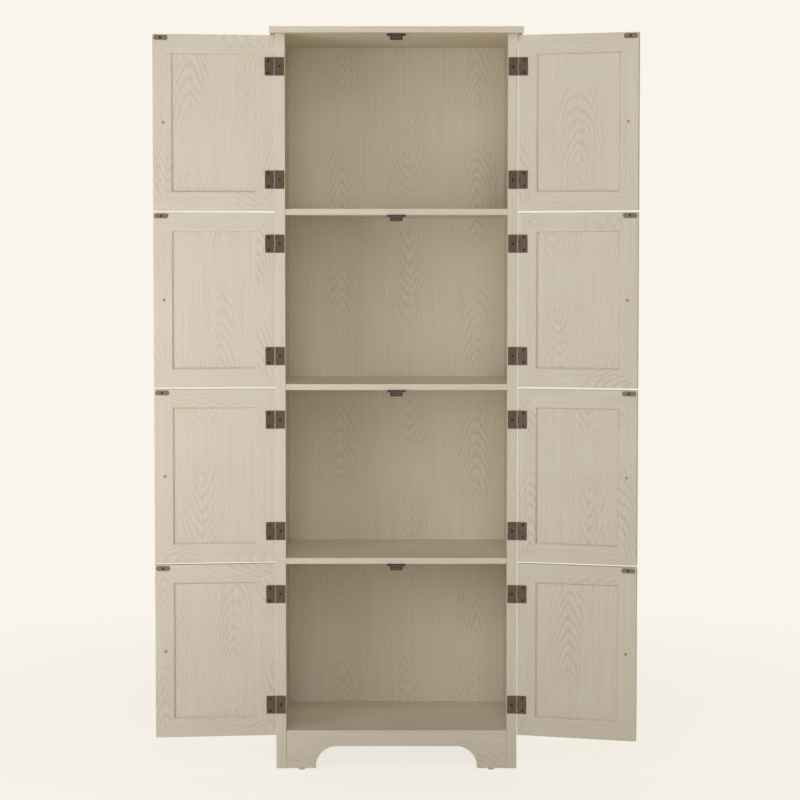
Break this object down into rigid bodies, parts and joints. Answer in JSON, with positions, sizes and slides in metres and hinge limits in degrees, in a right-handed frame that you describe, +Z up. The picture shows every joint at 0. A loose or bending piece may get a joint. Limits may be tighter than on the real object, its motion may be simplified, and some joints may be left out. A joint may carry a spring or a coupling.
{
  "type": "storage cabinet",
  "caption": "Tall narrow pantry cabinet with stacked pairs of framed doors on butt hinges, fixed shelves, magnetic catches and an arched apron on floor glides.",
  "frame": {"origin": "on the floor line, at the middle of the cabinet's back where it meets the wall", "axes": "+X to the right seen from the front, +Y into the wall, +Z up"},
  "size_m": [1.1824, 0.4475, 1.83],
  "materials": {
    "whitewashed_oak_laminate": "matte embossed woodgrain laminate",
    "bronzed_steel": "dark antique bronze",
    "brown_plastic": "moulded, satin",
    "glide_plastic": "moulded",
    "bright_steel": "zinc plated",
    "ferrite": "sintered"
  },
  "bodies": {
    "carcass": {"top_panel": "whitewashed_oak_laminate", "left_side_panel": "whitewashed_oak_laminate", "right_side_panel": "whitewashed_oak_laminate", "left_front_stile": "whitewashed_oak_laminate", "right_front_stile": "whitewashed_oak_laminate", "back_panel": "whitewashed_oak_laminate", "upper_shelf": "whitewashed_oak_laminate", "middle_shelf": "whitewashed_oak_laminate", "lower_shelf": "whitewashed_oak_laminate", "bottom_panel": "whitewashed_oak_laminate", "front_apron": "whitewashed_oak_laminate", "floor_glides": "glide_plastic", "hinge_frame_leaves": "bronzed_steel", "hinge_pins": "bronzed_steel", "hinge_frame_screws": "bronzed_steel", "catch_housings": "brown_plastic", "catch_pole_plates": "bright_steel", "catch_magnets": "ferrite", "catch_screws": "bright_steel", "cam_fittings": "bright_steel"},
    "top_left_door": {"top_left_door_frame": "whitewashed_oak_laminate", "top_left_door_panel": "whitewashed_oak_laminate", "top_left_door_hinge_leaves": "bronzed_steel", "top_left_door_knob": "bronzed_steel", "top_left_door_strike_plate": "bronzed_steel"},
    "upper_left_door": {"upper_left_door_frame": "whitewashed_oak_laminate", "upper_left_door_panel": "whitewashed_oak_laminate", "upper_left_door_hinge_leaves": "bronzed_steel", "upper_left_door_knob": "bronzed_steel", "upper_left_door_strike_plate": "bronzed_steel"},
    "lower_left_door": {"lower_left_door_frame": "whitewashed_oak_laminate", "lower_left_door_panel": "whitewashed_oak_laminate", "lower_left_door_hinge_leaves": "bronzed_steel", "lower_left_door_knob": "bronzed_steel", "lower_left_door_strike_plate": "bronzed_steel"},
    "bottom_left_door": {"bottom_left_door_frame": "whitewashed_oak_laminate", "bottom_left_door_panel": "whitewashed_oak_laminate", "bottom_left_door_hinge_leaves": "bronzed_steel", "bottom_left_door_knob": "bronzed_steel", "bottom_left_door_strike_plate": "bronzed_steel"},
    "top_right_door": {"top_right_door_frame": "whitewashed_oak_laminate", "top_right_door_panel": "whitewashed_oak_laminate", "top_right_door_hinge_leaves": "bronzed_steel", "top_right_door_knob": "bronzed_steel", "top_right_door_strike_plate": "bronzed_steel"},
    "upper_right_door": {"upper_right_door_frame": "whitewashed_oak_laminate", "upper_right_door_panel": "whitewashed_oak_laminate", "upper_right_door_hinge_leaves": "bronzed_steel", "upper_right_door_knob": "bronzed_steel", "upper_right_door_strike_plate": "bronzed_steel"},
    "lower_right_door": {"lower_right_door_frame": "whitewashed_oak_laminate", "lower_right_door_panel": "whitewashed_oak_laminate", "lower_right_door_hinge_leaves": "bronzed_steel", "lower_right_door_knob": "bronzed_steel", "lower_right_door_strike_plate": "bronzed_steel"},
    "bottom_right_door": {"bottom_right_door_frame": "whitewashed_oak_laminate", "bottom_right_door_panel": "whitewashed_oak_laminate", "bottom_right_door_hinge_leaves": "bronzed_steel", "bottom_right_door_knob": "bronzed_steel", "bottom_right_door_strike_plate": "bronzed_steel"}
  },
  "joints": [
    {"name": "top_left_door_hinge", "type": "hinge", "parent": "carcass", "child": "top_left_door", "pos_m": [-0.29765, -0.3726, 1.59725], "axis": [0, 0, 1], "range_deg": [-6, 174]},
    {"name": "upper_left_door_hinge", "type": "hinge", "parent": "carcass", "child": "upper_left_door", "pos_m": [-0.29765, -0.3726, 1.16525], "axis": [0, 0, 1], "range_deg": [-6, 174]},
    {"name": "lower_left_door_hinge", "type": "hinge", "parent": "carcass", "child": "lower_left_door", "pos_m": [-0.29765, -0.3726, 0.73325], "axis": [0, 0, 1], "range_deg": [-6, 174]},
    {"name": "bottom_left_door_hinge", "type": "hinge", "parent": "carcass", "child": "bottom_left_door", "pos_m": [-0.29765, -0.3726, 0.30125], "axis": [0, 0, 1], "range_deg": [-6, 174]},
    {"name": "top_right_door_hinge", "type": "hinge", "parent": "carcass", "child": "top_right_door", "pos_m": [0.29765, -0.3726, 1.59725], "axis": [0, 0, -1], "range_deg": [-15, 165]},
    {"name": "upper_right_door_hinge", "type": "hinge", "parent": "carcass", "child": "upper_right_door", "pos_m": [0.29765, -0.3726, 1.16525], "axis": [0, 0, -1], "range_deg": [-15, 165]},
    {"name": "lower_right_door_hinge", "type": "hinge", "parent": "carcass", "child": "lower_right_door", "pos_m": [0.29765, -0.3726, 0.73325], "axis": [0, 0, -1], "range_deg": [-15, 165]},
    {"name": "bottom_right_door_hinge", "type": "hinge", "parent": "carcass", "child": "bottom_right_door", "pos_m": [0.29765, -0.3726, 0.30125], "axis": [0, 0, -1], "range_deg": [-15, 165]}
  ]
}
